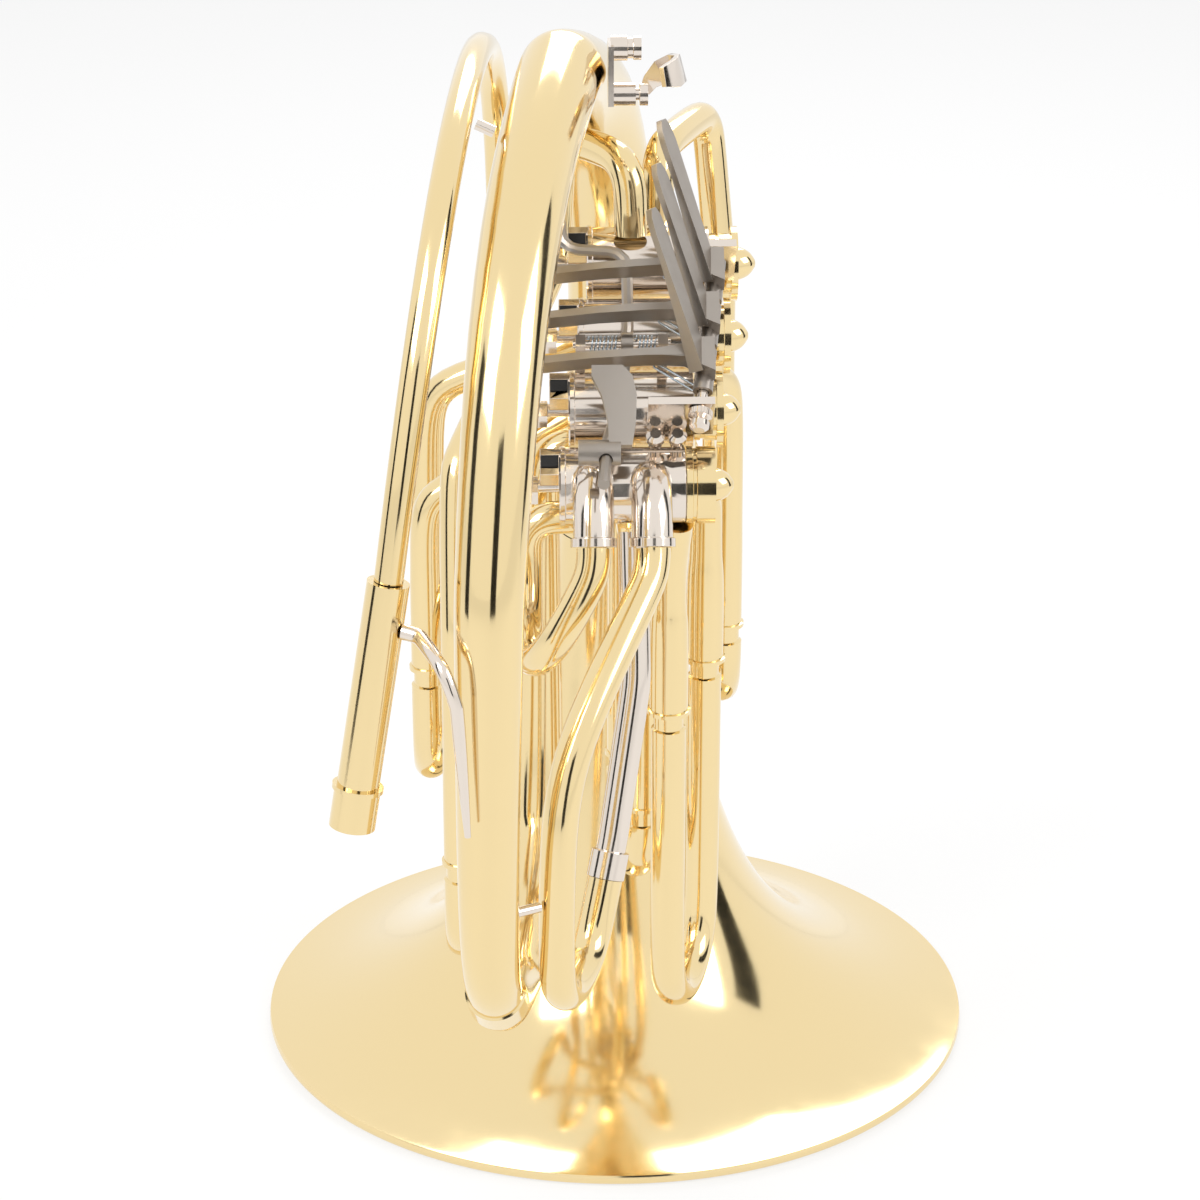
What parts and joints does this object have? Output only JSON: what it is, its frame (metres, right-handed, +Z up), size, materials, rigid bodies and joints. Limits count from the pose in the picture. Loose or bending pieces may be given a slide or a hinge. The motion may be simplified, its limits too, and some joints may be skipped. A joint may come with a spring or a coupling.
{
  "type": "double french horn",
  "caption": "Double french horn in lacquered yellow brass and nickel silver, standing on its bell, with working finger levers, thumb lever, rotary valves and pull slides.",
  "frame": {"origin": "centre of the object's box in width and depth, on the plane that the rim rests on", "axes": "x to the valve caps, y away from the player's side, z up along the bell's axis"},
  "size_m": [0.31, 0.4726, 0.4784],
  "materials": {
    "brass": "polished, clear lacquer",
    "nickel": "polished nickel silver",
    "lever": "satin nickel silver",
    "steel": "bright drawn spring wire",
    "cork": "matt black"
  },
  "bodies": {
    "horn": {"bell": "brass", "bell_tail": "brass", "first_branch": "brass", "leadpipe": "brass", "receiver": "brass", "receiver_brace": "nickel", "leadpipe_saddle": "nickel", "tube_f_near": "brass", "tube_f_far": "brass", "tube_second_near": "brass", "tube_second_far": "brass", "tube_third_near": "brass", "tube_third_far": "brass", "tube_upper_near": "brass", "tube_upper_far": "brass", "tube_main_near": "brass", "crook_first": "brass", "tube_long": "brass", "leg_nickel": "nickel", "casing_first": "nickel", "casing_second": "nickel", "casing_third": "nickel", "casing_change": "nickel", "cork_first": "cork", "cork_second": "cork", "cork_third": "cork", "cork_change": "cork", "cap_first": "brass", "cap_second": "brass", "cap_third": "brass", "cap_change": "brass", "lever_stand": "nickel", "thumb_stand": "nickel", "coil_left": "steel", "coil_right": "steel", "hook_base": "nickel", "tail_clip": "nickel"},
    "main_slide": {"slide_main": "brass"},
    "f_slide": {"slide_f": "brass"},
    "second_slide": {"slide_second": "brass"},
    "third_slide": {"slide_third": "brass"},
    "upper_slide": {"slide_upper": "brass"},
    "first_lever": {"lever_first": "lever", "spring_first": "steel"},
    "second_lever": {"lever_second": "lever", "spring_second": "steel"},
    "third_lever": {"lever_third": "lever", "spring_third": "steel"},
    "first_rotor": {"rotor_first": "nickel"},
    "second_rotor": {"rotor_second": "nickel"},
    "third_rotor": {"rotor_third": "nickel"},
    "change_rotor": {"rotor_change": "nickel"},
    "first_link": {"link_first": "lever"},
    "second_link": {"link_second": "lever"},
    "third_link": {"link_third": "lever"},
    "change_link": {"link_change": "lever"},
    "thumb": {"thumb_lever": "lever", "thumb_paddle": "lever"},
    "hook": {"finger_hook": "nickel"}
  },
  "joints": [
    {"name": "press_first", "type": "hinge", "parent": "horn", "child": "first_lever", "pos_m": [0.02728, -0.10623, 0.3649], "axis": [-0.119, -0.7493, -0.6514], "range_deg": [0, 11], "stiffness_Nm_per_rad": 0.12, "springref_deg": -11.46},
    {"name": "press_second", "type": "hinge", "parent": "horn", "child": "second_lever", "pos_m": [0.02956, -0.09189, 0.37736], "axis": [-0.119, -0.7493, -0.6514], "range_deg": [0, 11], "stiffness_Nm_per_rad": 0.12, "springref_deg": -11.46},
    {"name": "press_third", "type": "hinge", "parent": "horn", "child": "third_lever", "pos_m": [0.03183, -0.07755, 0.38983], "axis": [-0.119, -0.7493, -0.6514], "range_deg": [0, 11], "stiffness_Nm_per_rad": 0.12, "springref_deg": -11.46},
    {"name": "turn_first", "type": "hinge", "parent": "horn", "child": "first_rotor", "pos_m": [0, -0.10873, 0.319], "axis": [1, 0, 0], "range_deg": [-0.5, 90.5]},
    {"name": "turn_second", "type": "hinge", "parent": "horn", "child": "second_rotor", "pos_m": [0.0038, -0.08481, 0.3398], "axis": [1, 0, 0], "range_deg": [-0.5, 90.5]},
    {"name": "turn_third", "type": "hinge", "parent": "horn", "child": "third_rotor", "pos_m": [0.0076, -0.06088, 0.36059], "axis": [1, 0, 0], "range_deg": [-0.5, 90.5]},
    {"name": "turn_change", "type": "hinge", "parent": "horn", "child": "change_rotor", "pos_m": [0.0114, -0.03696, 0.38139], "axis": [1, 0, 0], "range_deg": [-0.5, 90.5]},
    {"name": "swing_first", "type": "hinge", "parent": "first_rotor", "child": "first_link", "pos_m": [-0.0422, -0.11873, 0.31883], "axis": [1, 0, 0], "range_deg": [-89, 1]},
    {"name": "swing_second", "type": "hinge", "parent": "second_rotor", "child": "second_link", "pos_m": [-0.0384, -0.09481, 0.33962], "axis": [1, 0, 0], "range_deg": [-89, 1]},
    {"name": "swing_third", "type": "hinge", "parent": "third_rotor", "child": "third_link", "pos_m": [-0.0346, -0.07088, 0.36042], "axis": [1, 0, 0], "range_deg": [-89, 1]},
    {"name": "swing_change", "type": "hinge", "parent": "change_rotor", "child": "change_link", "pos_m": [-0.0308, -0.02696, 0.38157], "axis": [1, 0, 0], "range_deg": [-94.5, 1]},
    {"name": "press_thumb", "type": "hinge", "parent": "horn", "child": "thumb", "pos_m": [0, -0.09324, 0.36824], "axis": [1, 0, 0], "range_deg": [0, 10], "stiffness_Nm_per_rad": 0.15, "springref_deg": -17.19},
    {"name": "pull_main", "type": "slide", "parent": "horn", "child": "main_slide", "axis": [0, 0, -1], "range_m": [0, 0.028]},
    {"name": "pull_f", "type": "slide", "parent": "horn", "child": "f_slide", "axis": [0, 0, -1], "range_m": [0, 0.028]},
    {"name": "pull_second", "type": "slide", "parent": "horn", "child": "second_slide", "axis": [0, 0, -1], "range_m": [0, 0.028]},
    {"name": "pull_third", "type": "slide", "parent": "horn", "child": "third_slide", "axis": [0, 0, -1], "range_m": [0, 0.028]},
    {"name": "pull_upper", "type": "slide", "parent": "horn", "child": "upper_slide", "axis": [0, 0, -1], "range_m": [0, 0.028]},
    {"name": "shift_hook", "type": "slide", "parent": "horn", "child": "hook", "axis": [1, 0, 0], "range_m": [0, 0.005]}
  ],
  "couplings": [
    {"joint": "turn_first", "follows": "press_first", "ratio": 8.18},
    {"joint": "turn_second", "follows": "press_second", "ratio": 8.18},
    {"joint": "turn_third", "follows": "press_third", "ratio": 8.18},
    {"joint": "turn_change", "follows": "press_thumb", "ratio": 9},
    {"joint": "swing_first", "follows": "press_first", "ratio": -8},
    {"joint": "swing_second", "follows": "press_second", "ratio": -7.93},
    {"joint": "swing_third", "follows": "press_third", "ratio": -7.89},
    {"joint": "swing_change", "follows": "press_thumb", "ratio": -9.36}
  ]
}
